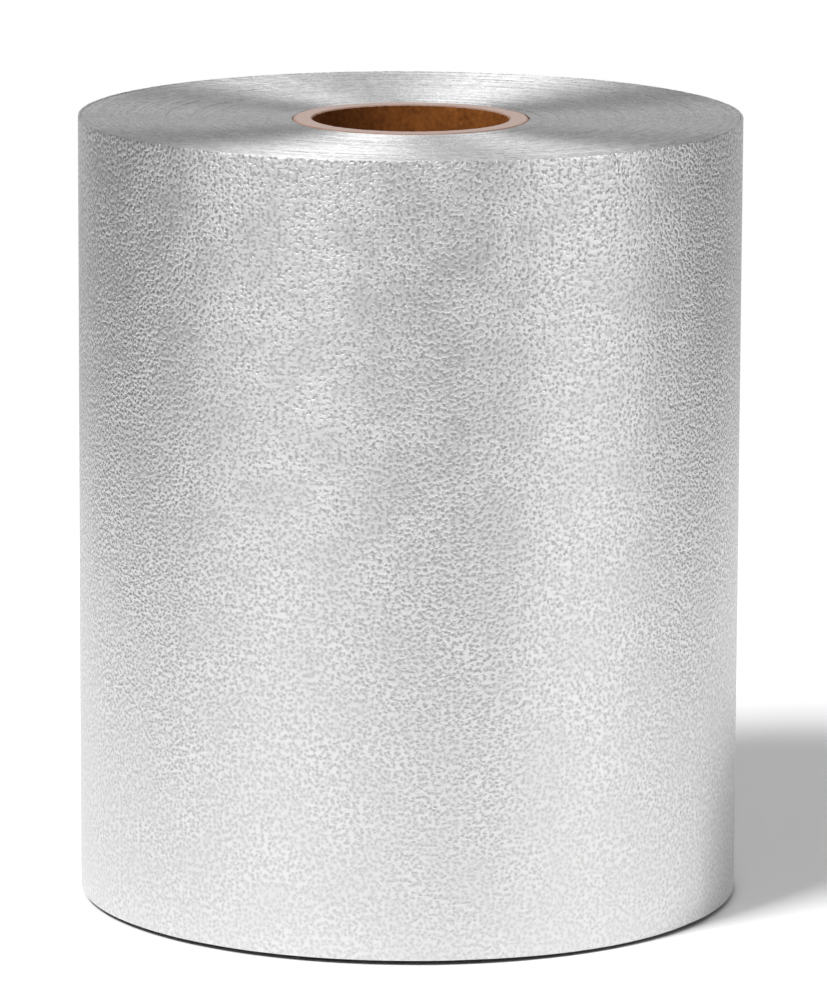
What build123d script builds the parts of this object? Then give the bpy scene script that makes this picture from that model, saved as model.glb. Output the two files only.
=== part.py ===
"""Roll of embossed aluminium foil on a paperboard core, standing on its end.

The origin is the middle of the end that the roll stands on, with the roll's axis along +Z.
"""

import os

from build123d import *

os.makedirs("parts", exist_ok=True)

# Foil web, five inches wide, and the roll that it makes
WEB_WIDTH = 127.0
ROLL_DIAMETER = 107.5
TURN_THICKNESS = 0.15

# The outer turns crept towards the top while the roll was wound, which dishes both ends alike
RIM_LIFT = 0.6
DISH_WIDTH = 16.0

# Turns that wandered sideways together show as rings on both ends, the last one cut off at the rim
RING_COUNT = 12
RING_HEIGHT = 0.25
RING_CREST_SHARE = 0.8
LAST_RING_SHARE = 0.6

# Paperboard core with an inch and a quarter bore and a wall of an eighth of an inch
CORE_BORE = 31.75
CORE_WALL = 3.175
CORE_PROUD = 0.2
CORE_EDGE = 0.25

ROLL_RADIUS = ROLL_DIAMETER / 2
CORE_RADIUS = CORE_BORE / 2 + CORE_WALL
CORE_LENGTH = WEB_WIDTH + CORE_PROUD
RING_PITCH = (ROLL_RADIUS - CORE_RADIUS) / (RING_COUNT - 1 + LAST_RING_SHARE)


def turn_lift(radius):
    """Gives how far the turns at a radius have crept up, from nothing to the lift at the rim."""
    share = max(0.0, 1 - (ROLL_RADIUS - radius) / DISH_WIDTH)
    return RIM_LIFT * share**2


def end_profile(height):
    """Lists the points of an end of the winding at a height, from the core to past the last turn."""
    points = []
    for ring in range(RING_COUNT):
        foot = CORE_RADIUS + ring * RING_PITCH
        crest = foot + RING_CREST_SHARE * RING_PITCH
        points.append((foot, height + turn_lift(foot)))
        points.append((crest, height + turn_lift(crest) + RING_HEIGHT))
    return points


# The web keeps its width, so both ends have one profile, and the last turn trims it to a spiral
# with the cut edge of the foil at the back
with BuildPart() as foil_winding:
    with BuildSketch(Plane.XZ):
        with BuildLine():
            Polyline(*end_profile(0), *reversed(end_profile(WEB_WIDTH)), close=True)
        make_face()
    revolve(axis=Axis.Z)
    with BuildSketch():
        with BuildLine():
            outer_half = CenterArc((0, 0), ROLL_RADIUS, 90, 180)
            inner_half = CenterArc((0, -TURN_THICKNESS / 2), ROLL_RADIUS - TURN_THICKNESS / 2, -90, 180)
            Line(inner_half @ 1, outer_half @ 0)
        make_face()
    extrude(amount=2 * WEB_WIDTH, both=True, mode=Mode.INTERSECT)

# The foil is wound tight on the core, which was cut a little longer than the web
with BuildPart() as core_tube:
    with BuildSketch():
        Circle(CORE_RADIUS)
        Circle(CORE_BORE / 2, mode=Mode.SUBTRACT)
    extrude(amount=CORE_LENGTH)
    chamfer(core_tube.edges().filter_by(GeomType.CIRCLE), CORE_EDGE)

foil_winding.part.label = "foil_winding"
core_tube.part.label = "core_tube"

export_step(foil_winding.part, "parts/foil_winding.step")
export_step(core_tube.part, "parts/core_tube.step")
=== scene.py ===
from math import cos, pi, radians, sin, tau

import bpy
import numpy as np
from mathutils import Matrix, Vector


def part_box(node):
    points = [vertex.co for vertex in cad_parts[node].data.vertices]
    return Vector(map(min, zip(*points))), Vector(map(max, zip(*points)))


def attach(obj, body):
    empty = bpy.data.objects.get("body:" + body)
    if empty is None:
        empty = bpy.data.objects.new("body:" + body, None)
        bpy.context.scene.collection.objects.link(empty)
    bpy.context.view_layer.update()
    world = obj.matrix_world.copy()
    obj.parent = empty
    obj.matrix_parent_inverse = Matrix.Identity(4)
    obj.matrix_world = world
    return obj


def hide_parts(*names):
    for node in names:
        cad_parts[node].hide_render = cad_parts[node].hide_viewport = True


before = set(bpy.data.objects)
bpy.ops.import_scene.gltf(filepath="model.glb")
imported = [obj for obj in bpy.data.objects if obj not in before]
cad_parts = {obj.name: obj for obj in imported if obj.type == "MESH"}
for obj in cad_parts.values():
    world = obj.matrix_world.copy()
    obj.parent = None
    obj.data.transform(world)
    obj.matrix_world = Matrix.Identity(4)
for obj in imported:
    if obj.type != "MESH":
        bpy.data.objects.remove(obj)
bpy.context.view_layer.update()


# The core is a tube of brown paperboard, wound as a spiral of plies and glued. It was cut to length
# with a knife, so its ends are paler than its bore and their edges are a little ragged. The foil is
# wound tight on it, and its bore slips over the spindle of a dispenser.
core_low, core_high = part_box("core_tube")
CORE_OUTER_RADIUS = core_high.x
CORE_WALL = 0.003175
CORE_BORE_RADIUS = CORE_OUTER_RADIUS - CORE_WALL
CORE_EDGE = 0.00022
CORE_CUT_BAND = 2 * CORE_EDGE
CORE_CUT_ROWS = 7
CORE_RAG = 0.00009
CORE_RAG_SEED = 7
CORE_FRAY_ROWS = 1.5
CORE_COLUMNS = 224
CORE_BORE_ROWS = 150
SHARP_ANGLE = radians(35)
# The plies, which step at the cut ends and meet in a slanting seam in the bore
PLY_PITCH = 0.00045
PLY_SOFTNESS = 2.5
PLY_STEP = 0.00004
PLY_STEP_SEED = 11
PLY_SEAM_LEAD = 0.108
PLY_SEAM_SLANT = 0.68
PLY_SEAM_WIDTH = 0.0005
PLY_SEAM_DEPTH = 0.00022
# The board, with its colours, fibres and blotches
BOARD_BROWN = (0.38, 0.13, 0.03, 1)
BOARD_DARK = (0.11, 0.034, 0.008, 1)
BOARD_CUT = (0.51, 0.395, 0.36, 1)
BOARD_CUT_DARK = (0.42, 0.3, 0.25, 1)
BOARD_RIM = (0.3, 0.18, 0.13, 1)
BOARD_ROUGHNESS = 0.9
BOARD_SHINE = 0.25
FIBRE_SCALE = 1400
FIBRE_DETAIL = 5.0
FIBRE_RANGE = (0.3, 0.7)
FIBRE_DEPTH = 0.00006
FIBRE_STRENGTH = 0.8
BLOTCH_SCALE = 260
BLOTCH_DETAIL = 3.0
BLOTCH_RANGE = (0.25, 0.75)


def ring_points(angle, radius, height):
    """Places a loop of points round the roll's axis at a radius and a height, or at one of each per point."""
    return np.stack([radius * np.cos(angle), radius * np.sin(angle), height + 0 * angle], axis=-1)


def closed_lathe(name, loops):
    """Joins loops of equally many points, each to the next and the last to the first, into a closed ring."""
    loops = np.asarray(loops)
    count, around = loops.shape[:2]
    index = np.arange(count * around).reshape(count, around)
    after = np.roll(index, -1, axis=0)
    quads = np.stack([index, np.roll(index, -1, axis=1), np.roll(after, -1, axis=1), after], axis=-1)
    mesh = bpy.data.meshes.new(name)
    mesh.from_pydata(loops.reshape(-1, 3).tolist(), [], quads.reshape(-1, 4).tolist())
    return mesh


def core_loops():
    """Lists the core's loops up the outside, over the cut end and down the bore with its ply seam."""
    angle = np.arange(CORE_COLUMNS) * tau / CORE_COLUMNS
    rag = np.random.default_rng(CORE_RAG_SEED).normal(size=(3, CORE_COLUMNS))
    outer_rag, bore_rag, fray = (rag + np.roll(rag, 1, axis=1) + np.roll(rag, 3, axis=1)) * CORE_RAG / 3
    bottom, top = core_low.z, core_high.z
    outside = [
        ring_points(angle, CORE_OUTER_RADIUS - CORE_EDGE, bottom),
        ring_points(angle, CORE_OUTER_RADIUS, bottom + CORE_EDGE),
        ring_points(angle, CORE_OUTER_RADIUS, top - CORE_EDGE),
        ring_points(angle, CORE_OUTER_RADIUS - CORE_EDGE + outer_rag / 2, top - np.abs(outer_rag) / 2),
    ]
    ends = np.linspace(CORE_OUTER_RADIUS - CORE_CUT_BAND, CORE_BORE_RADIUS + CORE_CUT_BAND, CORE_CUT_ROWS)
    steps = np.random.default_rng(PLY_STEP_SEED).uniform(0, PLY_STEP, CORE_CUT_ROWS)
    cut = [ring_points(angle, radius, top - step) for radius, step in zip(ends, steps)]
    foot = [ring_points(angle, radius, bottom + step) for radius, step in zip(ends[::-1], steps[::-1])]
    bore = [ring_points(angle, CORE_BORE_RADIUS + CORE_EDGE + bore_rag, top - np.abs(bore_rag) / 2)]
    for row, height in enumerate(np.linspace(top - CORE_EDGE, bottom + CORE_EDGE, CORE_BORE_ROWS)):
        seam = (angle / tau - height / PLY_SEAM_LEAD) % 1
        away = np.minimum(seam, 1 - seam) * PLY_SEAM_LEAD * PLY_SEAM_SLANT
        dip = PLY_SEAM_DEPTH * np.exp(-((away / PLY_SEAM_WIDTH) ** 2))
        frayed = fray * np.exp(-row / CORE_FRAY_ROWS)
        bore.append(ring_points(angle, CORE_BORE_RADIUS + dip + frayed, height))
    bore.append(ring_points(angle, CORE_BORE_RADIUS + CORE_EDGE, bottom))
    return [*outside, *cut, *bore, *foot]


def new_material(name):
    """Starts a node material and returns it with its tree and its shader."""
    material = bpy.data.materials.new(name)
    material.use_nodes = True
    tree = material.node_tree
    return material, tree, tree.nodes["Principled BSDF"]


def add_node(tree, kind, inputs=None, **settings):
    """Adds a node, sets its properties, and fills its inputs with values or links by name or number."""
    node = tree.nodes.new(kind)
    for key, value in settings.items():
        setattr(node, key, value)
    for key, value in (inputs or {}).items():
        if isinstance(value, bpy.types.NodeSocket):
            tree.links.new(value, node.inputs[key])
        else:
            node.inputs[key].default_value = value
    return node


def arithmetic(tree, operation, first, second=0.0, clamp=False):
    """Adds a math node and returns its result."""
    node = add_node(tree, "ShaderNodeMath", {0: first, 1: second}, operation=operation, use_clamp=clamp)
    return node.outputs[0]


def vector_arithmetic(tree, operation, first, second=(0, 0, 0)):
    """Adds a vector math node and returns its result, which is a number for a length or a dot product."""
    key = "Scale" if operation == "SCALE" else 1
    node = add_node(tree, "ShaderNodeVectorMath", {0: first, key: second}, operation=operation)
    return node.outputs["Value" if operation in ("LENGTH", "DOT_PRODUCT") else "Vector"]


def mapped(tree, value, low, high, to_low=0.0, to_high=1.0, **settings):
    """Maps a value from one range to another, never past its ends, and returns the result."""
    node = add_node(tree, "ShaderNodeMapRange", {
        "Value": value, "From Min": low, "From Max": high, "To Min": to_low, "To Max": to_high}, **settings)
    return node.outputs["Result"]


def mixed_colour(tree, factor, first, second):
    """Mixes two colours by a factor and returns the result."""
    node = add_node(tree, "ShaderNodeMix", {"Factor": factor, "A": first, "B": second}, data_type="RGBA")
    return node.outputs["Result"]


def placed_round_axis(tree):
    """Returns a point's place, its three parts, and its offset and its distance from the axis of the roll."""
    place = add_node(tree, "ShaderNodeTexCoord").outputs["Object"]
    split = add_node(tree, "ShaderNodeSeparateXYZ", {0: place}).outputs
    offset = add_node(tree, "ShaderNodeCombineXYZ", {"X": split["X"], "Y": split["Y"]}).outputs[0]
    return place, split, offset, vector_arithmetic(tree, "LENGTH", offset)


def speckle_group():
    """Builds the shader group that turns fine noise into a mask and a height, for the board, the foil and its
    edges.
    """
    group = bpy.data.node_groups.new("speckle", "ShaderNodeTree")
    group.interface.new_socket("Vector", in_out="INPUT", socket_type="NodeSocketVector")
    for name in ("Scale", "Detail", "Low", "High"):
        group.interface.new_socket(name, in_out="INPUT", socket_type="NodeSocketFloat")
    for name in ("Mask", "Height"):
        group.interface.new_socket(name, in_out="OUTPUT", socket_type="NodeSocketFloat")
    given = group.nodes.new("NodeGroupInput").outputs
    height = add_node(group, "ShaderNodeTexNoise", {
        "Vector": given["Vector"], "Scale": given["Scale"], "Detail": given["Detail"]}).outputs["Fac"]
    mask = mapped(group, height, given["Low"], given["High"])
    add_node(group, "NodeGroupOutput", {"Mask": mask, "Height": height})
    return group


speckle = speckle_group()


def speckled(tree, place, scale, detail, low, high):
    """Adds the speckle group to a material and returns its mask and its height."""
    node = add_node(tree, "ShaderNodeGroup", {
        "Vector": place, "Scale": scale, "Detail": detail, "Low": low, "High": high}, node_tree=speckle)
    return node.outputs["Mask"], node.outputs["Height"]


def paperboard():
    """Brown board with fibres and blotches in the bore, and paler cut ends that show its plies."""
    material, tree, shader = new_material("paperboard")
    place, split, _, radius = placed_round_axis(tree)
    fibres, fibre_height = speckled(tree, place, FIBRE_SCALE, FIBRE_DETAIL, *FIBRE_RANGE)
    blotches, _ = speckled(tree, place, BLOTCH_SCALE, BLOTCH_DETAIL, *BLOTCH_RANGE)
    grain = arithmetic(tree, "MULTIPLY", arithmetic(tree, "ADD", fibres, blotches), 0.5, clamp=True)
    wall = mixed_colour(tree, grain, BOARD_DARK, BOARD_BROWN)
    plies = arithmetic(tree, "SINE", arithmetic(tree, "MULTIPLY", radius, tau / PLY_PITCH))
    layer = mapped(tree, plies, -PLY_SOFTNESS, PLY_SOFTNESS)
    end = mixed_colour(tree, arithmetic(tree, "MULTIPLY", layer, grain), BOARD_CUT, BOARD_CUT_DARK)
    middle = CORE_OUTER_RADIUS - CORE_WALL / 2
    off_middle = arithmetic(tree, "ABSOLUTE", arithmetic(tree, "SUBTRACT", radius, middle))
    rim = mapped(tree, off_middle, CORE_WALL / 2 - CORE_CUT_BAND, CORE_WALL / 2)
    end = mixed_colour(tree, rim, end, BOARD_RIM)
    from_top = arithmetic(tree, "SUBTRACT", core_high.z, split["Z"])
    from_end = arithmetic(tree, "MINIMUM", from_top, split["Z"])
    cut_depth = arithmetic(tree, "MULTIPLY", fibre_height, CORE_CUT_BAND)
    on_cut = arithmetic(tree, "LESS_THAN", from_end, cut_depth)
    tree.links.new(mixed_colour(tree, on_cut, wall, end), shader.inputs["Base Color"])
    bump = add_node(tree, "ShaderNodeBump", {
        "Height": fibre_height, "Distance": FIBRE_DEPTH, "Strength": FIBRE_STRENGTH})
    tree.links.new(bump.outputs[0], shader.inputs["Normal"])
    shader.inputs["Roughness"].default_value = BOARD_ROUGHNESS
    shader.inputs["Specular IOR Level"].default_value = BOARD_SHINE
    return material


core_mesh = closed_lathe("paperboard_core", core_loops())
core_mesh.materials.append(paperboard())
core_mesh.shade_smooth()
core_mesh.set_sharp_from_angle(angle=SHARP_ANGLE)
core = bpy.data.objects.new("paperboard_core", core_mesh)
bpy.context.collection.objects.link(core)
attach(core, "root")
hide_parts("core_tube")


# The winding is one web of aluminium foil, embossed between rollers with a fine pebble pattern, slit to
# five inches and wound under tension. Its turns crept up towards the rim, wandered, and slipped a little
# beside a crease. The last turn holds by its own cling, with its cut edge at the back.
_, foil_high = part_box("foil_winding")
ROLL_RADIUS = foil_high.y
WEB_WIDTH = 0.127
RIM_LIFT = 0.00062
DISH_WIDTH = 0.022
FRONT_ANGLE = 3 * pi / 2
BACK_ANGLE = pi / 2
# The outermost turns slip down most at this azimuth, right of the front, and not at all 30 degrees off
SLIP_DEPTH = 0.00022
SLIP_WIDTH = 0.0016
SLIP_AZIMUTH = 40
SLIP_FROM = cos(radians(30))
# The last turn, with its worn rim and the dip of the turn below beside its cut edge
WRAP_THICKNESS = 0.00045
WRAP_STEP = 0.00015
WRAP_EDGE = 0.00005
WRAP_COLUMNS = 600
WRAP_ROWS = 56
ROWS_TO_RIM = 1.6
CUT_DIP = 0.00012
CUT_DIP_WIDTH = 0.0012
RIM_BAND = 0.003
RIM_RAG = 0.00006
RIM_RAG_SEED = 5
# The crease, from its top to its foot as the photograph shows them, in its own pixels
DENT_TOP_PX = (611, 151)
DENT_FOOT_PX = (645, 201)
DENT_DEPTH = 0.00035
DENT_WIDTH = 0.0011
DENT_REACH = 1.3
DENT_FADE = 1.3
AXIS_PX = 411.0
PX_PER_METRE = 6225.0
# The wrinkles, as waves round the roll with their phases, and fine ones that come in groups
WRINKLE_DEPTH = 0.00006
WRINKLE_WAVES = ((9, 0.3), (14, 1.9), (23, 4.0), (31, 2.2))
WRINKLE_LEAN = 0.06
WRINKLE_BENDS = 5
WRINKLE_BEND_PHASE = 1
FINE_WRINKLE_DEPTH = 0.000012
FINE_WRINKLE_WAVES = 57
FINE_WRINKLE_LEAN = 6
FINE_WRINKLE_BENDS = 4
FINE_WRINKLE_GROUPS = 5
FINE_WRINKLE_PHASE = 0.7
# The turns under the last one, and how far each wanders along the axis
TURNS_SHOWN = 150
TURN_POINTS = 96
TURN_WANDER = 0.00012
WANDER_SEED = 3
WANDER_SCALE = 1.7
WANDER_DETAIL = 4.0
WANDER_ROUGHNESS = 0.6
WANDER_RANGE = (0.3, 0.7)
END_FACE_FROM = 0.7
# The embossing, of domed pebbles and pits that mix, in patches of more and less depth and painted pit shade
UNDER_WRAP = ROLL_RADIUS - 0.0007
TURN_SHIFT = 50
PEBBLE_SCALE = 1400
PEBBLE_DRIFT = 0.0005
PEBBLE_REACH = 0.9
PEBBLE_SHARE = 0.5
PEBBLE_RANGE = (0.23, 0.62)
RIPPLE_SCALE = 1800
RIPPLE_DETAIL = 1.0
PIT_SCALE = 1700
PIT_DETAIL = 2.0
PIT_RANGE = (0.2, 0.8)
PATCH_SCALE = 110
PATCH_DETAIL = 2.0
PATCH_RANGE = (0.35, 0.65)
PATCH_DEPTHS = (0.75, 1.25)
EMBOSS_DEPTH = 0.00008
# Bump and painted pit shade fade to this share at the foot; the painted shade is strongest near the upper rim
EMBOSS_AND_SHADE_AT_FOOT = 0.3
FOIL_BRIGHT = (1.0, 1.0, 1.0, 1)
# Colour of the pits, which is painted shade
FOIL_PIT_SHADE = (0.45, 0.445, 0.445, 1)
FOIL_UNPRESSED = 0.5
FOIL_ROUGHNESS = 0.37
# The slit edges, with burrs drawn out across the turns and along them
BURR_RADIUS = 0.037
BURR_SCALE = 2200
BURR_DETAIL = 1.0
BURR_RANGE = (0.3, 0.7)
BURR_SQUEEZE = 0.25
BURR_SHARE = 0.5
BURR_DEPTH = 0.00002
SLIT_BRIGHT = (1.0, 1.0, 1.0, 1)
SLIT_DULL = (0.58, 0.58, 0.585, 1)
# The lower end's colour is painted shade, to darken the gap under the rim where the roll stands
SLIT_PAINTED_SHADE = (0.22, 0.22, 0.22, 1)
SLIT_ROUGHNESS = 0.55
BRUSHED = 1.0
BRUSHED_ACROSS = 0.25


def wrap_mesh():
    """Makes the last turn, a thin spiral sheet with faint upright wrinkles and a crease at its worn rim."""
    across = np.linspace(0, 1, WRAP_COLUMNS)
    angle = BACK_ANGLE + across * tau
    rise = 1 - np.linspace(1, 0, WRAP_ROWS)[:, None] ** ROWS_TO_RIM
    bottom = foil_high.z - WEB_WIDTH
    beside_cut = (1 - across) * tau * ROLL_RADIUS
    base = ROLL_RADIUS - WRAP_STEP * across - CUT_DIP * np.exp(-beside_cut / CUT_DIP_WIDTH)

    rag = RIM_RAG * np.random.default_rng(RIM_RAG_SEED).uniform(size=WRAP_COLUMNS)
    slip = (np.cos(angle - FRONT_ANGLE - radians(SLIP_AZIMUTH)) - SLIP_FROM) / (1 - SLIP_FROM)
    near_rim = np.clip(1 - (1 - rise) * WEB_WIDTH / RIM_BAND, 0, 1)
    height = bottom + rise * WEB_WIDTH - (rag + SLIP_DEPTH * np.clip(slip, 0, 1)) * near_rim

    side = angle + WRINKLE_LEAN * np.sin(rise * WRINKLE_BENDS + WRINKLE_BEND_PHASE)
    wrinkle = sum(np.sin(side * waves + phase) for waves, phase in WRINKLE_WAVES) / len(WRINKLE_WAVES)
    lean = FINE_WRINKLE_LEAN * np.sin(rise * FINE_WRINKLE_BENDS)
    groups = np.sin(side * FINE_WRINKLE_GROUPS + FINE_WRINKLE_PHASE) ** 2
    fine = np.sin(side * FINE_WRINKLE_WAVES + lean) * groups
    sag = WRINKLE_DEPTH * (wrinkle - 1) + FINE_WRINKLE_DEPTH * (fine - 1)

    def seen_angle(px):
        """Turns a column of the photograph into the angle at which the roll's front side shows there."""
        return FRONT_ANGLE + np.arcsin((px - AXIS_PX) / PX_PER_METRE / ROLL_RADIUS)

    dent_top, dent_foot = seen_angle(DENT_TOP_PX[0]), seen_angle(DENT_FOOT_PX[0])
    dent_length = (DENT_FOOT_PX[1] - DENT_TOP_PX[1]) / PX_PER_METRE
    down = foil_high.z - height
    beside = (angle - dent_top - (dent_foot - dent_top) * down / dent_length) * ROLL_RADIUS
    fade = np.clip(1 - down / (DENT_REACH * dent_length), 0, 1) ** DENT_FADE
    dent = DENT_DEPTH * fade * np.exp(-((beside / DENT_WIDTH) ** 2))

    radius = base + sag - dent - WRAP_EDGE * ((rise == 0) | (rise == 1))
    inner = base - WRAP_THICKNESS - dent
    outside = [ring_points(angle, *row) for row in zip(radius, height)]
    inside = [ring_points(angle, inner[-1], height[-1]), ring_points(angle, inner[0], bottom)]
    loops = np.array([*outside, *inside])
    index = np.arange(loops[..., 0].size).reshape(loops.shape[:2])
    after = np.roll(index, -1, axis=0)
    quads = np.stack([index[:, :-1], index[:, 1:], after[:, 1:], after[:, :-1]], axis=-1)
    caps = [index[:, 0].tolist(), index[::-1, -1].tolist()]
    mesh = bpy.data.meshes.new("foil_winding_looks")
    mesh.from_pydata(loops.reshape(-1, 3).tolist(), [], quads.reshape(-1, 4).tolist() + caps)
    return mesh


def wound_turns_tree(embossed, edges):
    """Builds the nodes that wind the turns under the last one as one spiral strip of the web's width."""
    tree = bpy.data.node_groups.new("wound turns", "GeometryNodeTree")
    for in_out in ("INPUT", "OUTPUT"):
        tree.interface.new_socket("Geometry", in_out=in_out, socket_type="NodeSocketGeometry")
    kinds = {
        "NodeSocketFloat": (
            "Core Radius", "Outer Radius", "Web Width", "Rim Lift", "Dish Width", "Wander",
            "Slip Depth", "Slip Width", "Slip From"),
        "NodeSocketVector": ("Slip Side",),
        "NodeSocketInt": ("Turns", "Points Per Turn", "Seed"),
    }
    identifiers = {
        name: tree.interface.new_socket(name, in_out="INPUT", socket_type=kind).identifier
        for kind, names in kinds.items() for name in names}
    given = tree.nodes.new("NodeGroupInput").outputs

    build_up = arithmetic(tree, "SUBTRACT", given["Outer Radius"], given["Core Radius"])
    turn = arithmetic(tree, "DIVIDE", build_up, given["Turns"])
    half = arithmetic(tree, "MULTIPLY", turn, 0.5)
    spiral = add_node(tree, "GeometryNodeCurveSpiral", {
        "Resolution": given["Points Per Turn"],
        "Rotations": given["Turns"],
        "Start Radius": arithmetic(tree, "ADD", given["Core Radius"], half),
        "End Radius": arithmetic(tree, "SUBTRACT", given["Outer Radius"], half),
        "Height": 0.0,
    })

    place = tree.nodes.new("GeometryNodeInputPosition").outputs[0]
    radius = vector_arithmetic(tree, "LENGTH", place)
    dish_from = arithmetic(tree, "SUBTRACT", given["Outer Radius"], given["Dish Width"])
    share = mapped(tree, radius, dish_from, given["Outer Radius"], interpolation_type="SMOOTHSTEP")
    lift = arithmetic(tree, "MULTIPLY", share, given["Rim Lift"])
    towards = vector_arithmetic(tree, "DOT_PRODUCT", place, given["Slip Side"])
    near_side = mapped(tree, arithmetic(tree, "DIVIDE", towards, radius), given["Slip From"], 1.0)
    slip_from = arithmetic(tree, "SUBTRACT", given["Outer Radius"], given["Slip Width"])
    near_rim = mapped(tree, radius, slip_from, given["Outer Radius"])
    slip = arithmetic(tree, "MULTIPLY", near_side, near_rim)
    slip = arithmetic(tree, "MULTIPLY", slip, given["Slip Depth"])
    lift = arithmetic(tree, "SUBTRACT", lift, slip)
    factor = tree.nodes.new("GeometryNodeSplineParameter").outputs["Factor"]
    along = arithmetic(tree, "MULTIPLY", factor, given["Turns"])
    noise = add_node(tree, "ShaderNodeTexNoise", {
        "W": arithmetic(tree, "ADD", along, given["Seed"]),
        "Scale": WANDER_SCALE,
        "Detail": WANDER_DETAIL,
        "Roughness": WANDER_ROUGHNESS,
    }, noise_dimensions="1D")
    wander = mapped(tree, noise.outputs[0], *WANDER_RANGE, 0.0, given["Wander"])
    middle = arithmetic(tree, "MULTIPLY", given["Web Width"], 0.5)
    up = arithmetic(tree, "ADD", arithmetic(tree, "ADD", lift, wander), middle)
    placed = add_node(tree, "GeometryNodeSetPosition", {
        "Geometry": spiral.outputs["Curve"],
        "Offset": add_node(tree, "ShaderNodeCombineXYZ", {"Z": up}).outputs[0],
    })

    upright = add_node(tree, "GeometryNodeSetCurveNormal", {"Curve": placed.outputs[0]}, mode="Z_UP")
    section = add_node(tree, "GeometryNodeCurvePrimitiveQuadrilateral", {
        "Width": turn, "Height": given["Web Width"]}, mode="RECTANGLE")
    strip = add_node(tree, "GeometryNodeCurveToMesh", {
        "Curve": upright.outputs[0], "Profile Curve": section.outputs[0], "Fill Caps": True})
    both = add_node(tree, "GeometryNodeJoinGeometry")
    tree.links.new(given["Geometry"], both.inputs[0])
    tree.links.new(strip.outputs[0], both.inputs[0])
    solid = add_node(tree, "GeometryNodeRealizeInstances", {0: both.outputs[0]}).outputs[0]
    faces = add_node(tree, "GeometryNodeSetMaterial", {"Geometry": solid, "Material": embossed}).outputs[0]
    normal = tree.nodes.new("GeometryNodeInputNormal").outputs[0]
    upward = add_node(tree, "ShaderNodeSeparateXYZ", {0: normal}).outputs["Z"]
    flat = arithmetic(tree, "GREATER_THAN", arithmetic(tree, "ABSOLUTE", upward), END_FACE_FROM)
    ends = add_node(tree, "GeometryNodeSetMaterial", {
        "Geometry": faces, "Selection": flat, "Material": edges}).outputs[0]
    tree.links.new(ends, tree.nodes.new("NodeGroupOutput").inputs[0])
    return tree, identifiers


def mixed_level(tree, factor, first, second):
    """Mixes two numbers by a factor and returns the result."""
    node = add_node(tree, "ShaderNodeMix", {"Factor": factor, "A": first, "B": second}, data_type="FLOAT")
    return node.outputs[0]


def embossed_foil():
    """Bright aluminium embossed with fine pebbles and pits painted darker as shade, bump and shade strongest
    at the upper rim.
    """
    material, tree, shader = new_material("embossed_foil")
    _, split, _, radius = placed_round_axis(tree)
    angle = arithmetic(tree, "ARCTAN2", split["X"], arithmetic(tree, "MULTIPLY", split["Y"], -1.0))
    inward = arithmetic(tree, "MAXIMUM", arithmetic(tree, "SUBTRACT", UNDER_WRAP, radius), 0.0)
    along = arithmetic(tree, "MULTIPLY", angle, ROLL_RADIUS)
    along = arithmetic(tree, "ADD", along, arithmetic(tree, "MULTIPLY", inward, TURN_SHIFT))
    web = add_node(tree, "ShaderNodeCombineXYZ", {"X": along, "Y": split["Z"]}).outputs[0]
    ripple = add_node(tree, "ShaderNodeTexNoise", {
        "Vector": web, "Scale": RIPPLE_SCALE, "Detail": RIPPLE_DETAIL}, noise_dimensions="2D")
    drift = vector_arithmetic(tree, "SCALE", ripple.outputs["Color"], PEBBLE_DRIFT)
    moved = vector_arithmetic(tree, "ADD", web, drift)
    cells = add_node(tree, "ShaderNodeTexVoronoi", {
        "Vector": moved, "Scale": PEBBLE_SCALE}, voronoi_dimensions="2D")
    domes = mapped(tree, cells.outputs["Distance"], 0.0, PEBBLE_REACH)
    pits, _ = speckled(tree, web, PIT_SCALE, PIT_DETAIL, *PIT_RANGE)
    pebbles = mapped(tree, mixed_level(tree, PEBBLE_SHARE, pits, domes), *PEBBLE_RANGE)
    patches, _ = speckled(tree, web, PATCH_SCALE, PATCH_DETAIL, *PATCH_RANGE)
    # The painted pit shade, like the bump, grows from the foot to the upper rim
    depth = mapped(tree, split["Z"], 0.0, WEB_WIDTH, EMBOSS_AND_SHADE_AT_FOOT, 1.0)
    depth = arithmetic(tree, "MULTIPLY", depth, mixed_level(tree, patches, *PATCH_DEPTHS))
    # The pits are painted darker, as shade, by this level
    painted_pit_shade = mixed_level(tree, depth, FOIL_UNPRESSED, pebbles)
    tree.links.new(mixed_colour(tree, painted_pit_shade, FOIL_PIT_SHADE, FOIL_BRIGHT), shader.inputs["Base Color"])
    bump = add_node(tree, "ShaderNodeBump", {
        "Height": pebbles, "Distance": EMBOSS_DEPTH, "Strength": depth})
    tree.links.new(bump.outputs[0], shader.inputs["Normal"])
    shader.inputs["Metallic"].default_value = 1.0
    shader.inputs["Roughness"].default_value = FOIL_ROUGHNESS
    return material


def burr_place(tree, away, radius, round_squeeze, radial_squeeze):
    """Places burrs by direction and radius, squeezed one way to draw them out that way."""
    turned = vector_arithmetic(tree, "SCALE", away, BURR_RADIUS * round_squeeze)
    squeezed = arithmetic(tree, "MULTIPLY", radius, radial_squeeze)
    level = add_node(tree, "ShaderNodeCombineXYZ", {"Z": squeezed}).outputs[0]
    return vector_arithmetic(tree, "ADD", turned, level)


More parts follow.
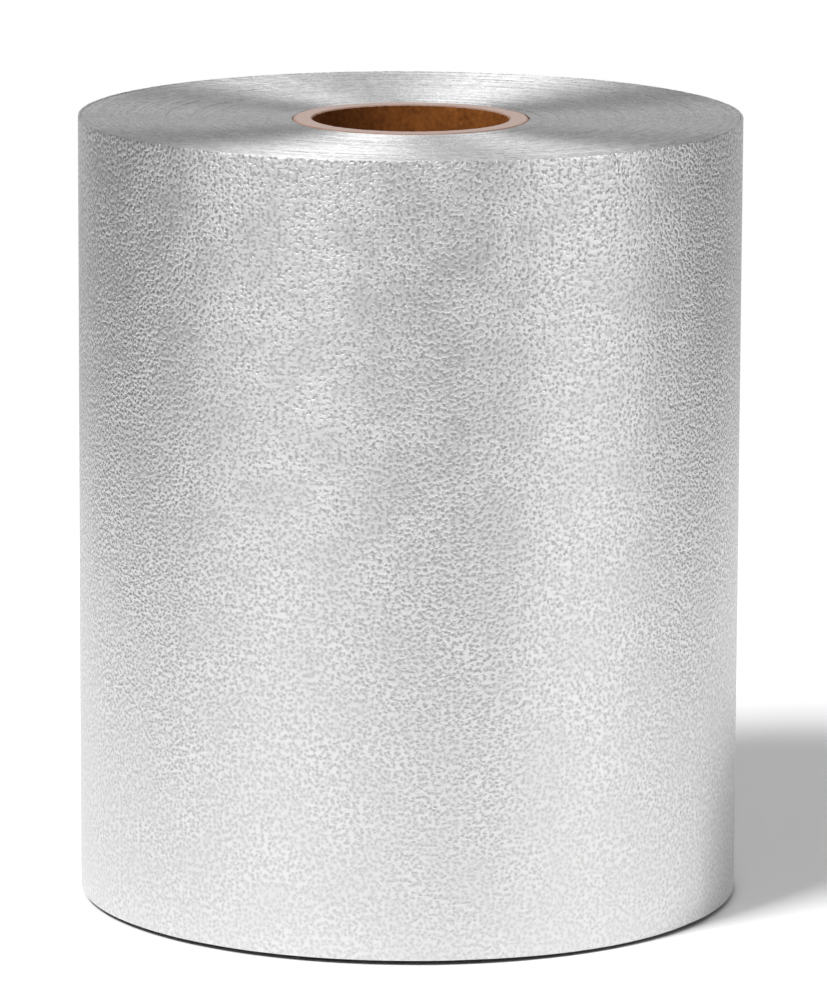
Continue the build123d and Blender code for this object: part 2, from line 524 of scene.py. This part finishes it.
def turn_edges():
    """The slit edges of the turns, burred, brushed so that light fans out, with painted shade on the lower
    end.
    """
    material, tree, shader = new_material("turn_edges")
    _, split, offset, radius = placed_round_axis(tree)
    away = vector_arithmetic(tree, "NORMALIZE", offset)
    across, along = (
        speckled(tree, burr_place(tree, away, radius, *squeeze), BURR_SCALE, BURR_DETAIL, *BURR_RANGE)[0]
        for squeeze in ((1.0, BURR_SQUEEZE), (BURR_SQUEEZE, 1.0)))
    grit = mixed_level(tree, BURR_SHARE, across, along)
    # The lower end, where the roll stands, is painted dark as shade under the roll
    painted_shade_below = arithmetic(tree, "LESS_THAN", split["Z"], WEB_WIDTH / 2)
    tone = mixed_colour(tree, grit, SLIT_DULL, SLIT_BRIGHT)
    tree.links.new(mixed_colour(tree, painted_shade_below, tone, SLIT_PAINTED_SHADE), shader.inputs["Base Color"])
    bump = add_node(tree, "ShaderNodeBump", {"Height": grit, "Distance": BURR_DEPTH})
    tree.links.new(bump.outputs[0], shader.inputs["Normal"])
    shader.inputs["Metallic"].default_value = 1.0
    shader.inputs["Roughness"].default_value = SLIT_ROUGHNESS
    shader.inputs["Anisotropic"].default_value = BRUSHED
    shader.inputs["Anisotropic Rotation"].default_value = BRUSHED_ACROSS
    return material


winding = bpy.data.objects.new("wound_foil", wrap_mesh())
bpy.context.collection.objects.link(winding)
turns, sockets = wound_turns_tree(embossed_foil(), turn_edges())
modifier = winding.modifiers.new("wound turns", "NODES")
modifier.node_group = turns
for name, value in {
    "Core Radius": CORE_OUTER_RADIUS,
    "Outer Radius": ROLL_RADIUS - WRAP_THICKNESS + WRAP_EDGE,
    "Web Width": WEB_WIDTH,
    "Rim Lift": RIM_LIFT,
    "Dish Width": DISH_WIDTH,
    "Wander": TURN_WANDER,
    "Slip Depth": SLIP_DEPTH,
    "Slip Width": SLIP_WIDTH,
    "Slip From": SLIP_FROM,
    "Slip Side": (sin(radians(SLIP_AZIMUTH)), -cos(radians(SLIP_AZIMUTH)), 0.0),
    "Turns": TURNS_SHOWN,
    "Points Per Turn": TURN_POINTS,
    "Seed": WANDER_SEED,
}.items():
    modifier[sockets[name]] = value
depsgraph = bpy.context.evaluated_depsgraph_get()
wound = bpy.data.meshes.new_from_object(winding.evaluated_get(depsgraph), depsgraph=depsgraph)
winding.modifiers.clear()
winding.data = wound
wound.shade_smooth()
wound.set_sharp_from_angle(angle=SHARP_ANGLE)
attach(winding, "root")
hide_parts("foil_winding")


# The floor is a plain white sheet, lit evenly. The camera sees it as white, and past its edge it sees
# white too. The foil mirrors the sheet a little less bright than that.
FLOOR_RADIUS = 0.4
FLOOR_MIDDLE = (0.03, 0.04, 0)
FLOOR_POINTS = 128
FLOOR_WHITE = 0.9
FLOOR_MIRRORED = 1.04
FLOOR_SEEN = 1.15


def level_by_ray(tree, lit, mirrored, seen):
    """Gives soft light one level, what shiny surfaces mirror another, and what the camera sees a third."""
    path = add_node(tree, "ShaderNodeLightPath").outputs
    shiny = arithmetic(tree, "MAXIMUM", path["Is Glossy Ray"], path["Is Transmission Ray"])
    level = mixed_level(tree, shiny, lit, mirrored)
    return mixed_level(tree, path["Is Camera Ray"], level, seen)


floor_mesh = bpy.data.meshes.new("floor")
floor_rim = ring_points(np.arange(FLOOR_POINTS) * tau / FLOOR_POINTS, FLOOR_RADIUS, 0) + FLOOR_MIDDLE
floor_mesh.from_pydata(floor_rim.tolist(), [], [list(range(FLOOR_POINTS))])
floor = bpy.data.objects.new("floor", floor_mesh)
bpy.context.collection.objects.link(floor)
floor_material = bpy.data.materials.new("white_sheet")
floor_material.use_nodes = True
tree = floor_material.node_tree
tree.nodes.clear()
level = level_by_ray(tree, FLOOR_WHITE, FLOOR_MIRRORED, FLOOR_SEEN)
white = add_node(tree, "ShaderNodeCombineColor", {0: level, 1: level, 2: level})
matt = add_node(tree, "ShaderNodeBsdfDiffuse", {"Color": white.outputs[0]})
add_node(tree, "ShaderNodeOutputMaterial", {"Surface": matt.outputs[0]})
floor_mesh.materials.append(floor_material)


# The studio lights everything evenly, more from overhead, and a soft lamp high at the front left throws
# the shadow. Shiny surfaces show the lamp's soft box, the cards round it, the backdrop and the far floor.
STUDIO_AMBIENT = 0.07
STUDIO_OVERHEAD = 0.45
STUDIO_SEEN = 1.0
STUDIO_CARDS = (
    # azimuth from the camera's side, elevation, sharpness, strength
    (-46, 38, 6, 2.05),
    (-46, 60, 6, 0.3),
    (-25, 38, 20, 0.4),
    (0, 30, 7, 0.2),
    (62, 20, 12, 1.75),
    (75, 30, 12, 0.5),
    (180, 20, 5, 0.66),
    (-165, 12, 12, 0.12),
    (165, 32, 12, 0.25),
    (0, 90, 3, 0.78),
)
FAR_FLOOR = 0.29
FAR_FLOOR_EDGE = 0.05
KEY_AZIMUTH = -45
KEY_ELEVATION = 52
KEY_DISTANCE = 4.0
KEY_SIZE = 0.95
KEY_POWER = 130.0


def studio_direction(azimuth, elevation):
    """Points from the object to a place in the studio, with azimuth 0 at the camera and 90 to the right."""
    side, rise = radians(azimuth), radians(elevation)
    return Vector((sin(side) * cos(rise), -cos(side) * cos(rise), sin(rise)))


world = bpy.data.worlds.new("studio")
bpy.context.scene.world = world
world.use_nodes = True
tree = world.node_tree
tree.nodes.clear()
way = add_node(tree, "ShaderNodeTexCoord").outputs["Generated"]
up = add_node(tree, "ShaderNodeSeparateXYZ", {0: way}).outputs["Z"]
mirrored = mapped(tree, up, -FAR_FLOOR_EDGE, FAR_FLOOR_EDGE, FAR_FLOOR, 0.0)
for azimuth, elevation, sharpness, strength in STUDIO_CARDS:
    facing = vector_arithmetic(tree, "DOT_PRODUCT", way, studio_direction(azimuth, elevation))
    lobe = arithmetic(tree, "POWER", arithmetic(tree, "MAXIMUM", facing, 0.0), sharpness)
    mirrored = arithmetic(tree, "ADD", mirrored, arithmetic(tree, "MULTIPLY", lobe, strength))
overhead = arithmetic(tree, "MULTIPLY", arithmetic(tree, "MAXIMUM", up, 0.0), STUDIO_OVERHEAD)
level = level_by_ray(tree, arithmetic(tree, "ADD", overhead, STUDIO_AMBIENT), mirrored, STUDIO_SEEN)
background = add_node(tree, "ShaderNodeBackground", {"Color": (1, 1, 1, 1), "Strength": level})
add_node(tree, "ShaderNodeOutputWorld", {"Surface": background.outputs[0]})

key = bpy.data.lights.new("key_light", "AREA")
key.energy = KEY_POWER
key.size = KEY_SIZE
key_lamp = bpy.data.objects.new("key_light", key)
bpy.context.collection.objects.link(key_lamp)
key_way = studio_direction(KEY_AZIMUTH, KEY_ELEVATION)
key_lamp.location = KEY_DISTANCE * key_way
key_lamp.rotation_euler = key_way.to_track_quat("Z", "Y").to_euler()
key_lamp.visible_glossy = False


# The camera stands 1.2 metres away, where the outlines of both ends of the roll put it. Lengths in pixels
# are the photograph's, which is 1000 high.
CAMERA_TARGET = Vector((0, 0, 0.0635))
CAMERA_DISTANCE = 1.2008
CAMERA_ELEVATION = 10.806
CAMERA_ROLL = 0.238
CAMERA_FOCAL_PX = 7371.4
FRAME_PX = 1000
FRAME_CENTRE_PX = (413.5, 500.0)
TARGET_PX = (409.254, 505.686)

camera_data = bpy.data.cameras.new("camera")
camera_data.lens = CAMERA_FOCAL_PX / FRAME_PX * camera_data.sensor_width
camera_data.shift_x = (FRAME_CENTRE_PX[0] - TARGET_PX[0]) / FRAME_PX
camera_data.shift_y = (TARGET_PX[1] - FRAME_CENTRE_PX[1]) / FRAME_PX
camera = bpy.data.objects.new("camera", camera_data)
bpy.context.collection.objects.link(camera)
camera.matrix_world = (
    Matrix.Translation(CAMERA_TARGET + CAMERA_DISTANCE * studio_direction(0, CAMERA_ELEVATION))
    @ Matrix.Rotation(radians(90 - CAMERA_ELEVATION), 4, "X")
    @ Matrix.Rotation(radians(CAMERA_ROLL), 4, "Z")
)
bpy.context.scene.camera = camera
bpy.context.scene.view_settings.view_transform = "Standard"
